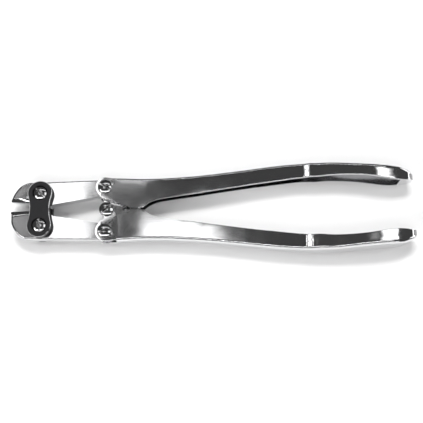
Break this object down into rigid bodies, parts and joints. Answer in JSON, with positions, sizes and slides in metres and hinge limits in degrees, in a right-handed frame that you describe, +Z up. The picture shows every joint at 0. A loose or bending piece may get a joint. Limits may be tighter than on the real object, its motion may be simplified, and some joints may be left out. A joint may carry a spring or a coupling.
{
  "type": "grozing pliers",
  "caption": "Compound-action grozing pliers: pivoted jaws on link plates, bevelled flat bite with a narrow parallel gap, and long pressed channel handles pinned at the centre.",
  "frame": {"origin": "middle of the tool's length and width, on the plane that it rests on", "axes": "+X from the jaws towards the handle ends, +Y towards the upper handle, +Z up through the thickness towards the slotted screw heads"},
  "size_m": [0.1982, 0.044, 0.016],
  "materials": {
    "handle_chrome": "bright chrome plate over pressed steel",
    "jaw_steel": "bright plated forged steel",
    "black_link": "satin black finish on steel",
    "screw_steel": "bright steel, slotted"
  },
  "bodies": {
    "links": {"front_link_plate": "black_link", "rear_link_plate": "black_link", "upper_link_screw": "screw_steel", "lower_link_screw": "screw_steel", "upper_link_nut": "screw_steel", "lower_link_nut": "screw_steel"},
    "upper_jaw": {"upper_jaw": "jaw_steel"},
    "lower_jaw": {"lower_jaw": "jaw_steel"},
    "upper_handle": {"upper_handle": "handle_chrome", "upper_jaw_screw": "screw_steel", "upper_jaw_nut": "screw_steel"},
    "lower_handle": {"lower_handle": "handle_chrome", "lower_jaw_screw": "screw_steel", "lower_jaw_nut": "screw_steel", "centre_screw": "screw_steel", "centre_nut": "screw_steel", "centre_spacer": "screw_steel"}
  },
  "joints": [
    {"name": "upper_jaw_pivot", "type": "hinge", "parent": "links", "child": "upper_jaw", "pos_m": [-0.08416, 0.0081, 0.008], "axis": [0, 0, -1], "range_deg": [0, 2.3]},
    {"name": "lower_jaw_pivot", "type": "hinge", "parent": "links", "child": "lower_jaw", "pos_m": [-0.08416, -0.0081, 0.008], "axis": [0, 0, 1], "range_deg": [0, 2.3]},
    {"name": "upper_handle_pivot", "type": "hinge", "parent": "upper_jaw", "child": "upper_handle", "pos_m": [-0.05256, 0.0111, 0.008], "axis": [0, 0, 1], "range_deg": [0, 28]},
    {"name": "lower_handle_pivot", "type": "hinge", "parent": "lower_jaw", "child": "lower_handle", "pos_m": [-0.05256, -0.0111, 0.008], "axis": [0, 0, -1], "range_deg": [0, 28]}
  ],
  "couplings": [
    {"joint": "lower_handle_pivot", "follows": "upper_handle_pivot", "ratio": 1},
    {"joint": "upper_jaw_pivot", "follows": "upper_handle_pivot", "ratio": 0.082},
    {"joint": "lower_jaw_pivot", "follows": "upper_handle_pivot", "ratio": 0.082}
  ]
}
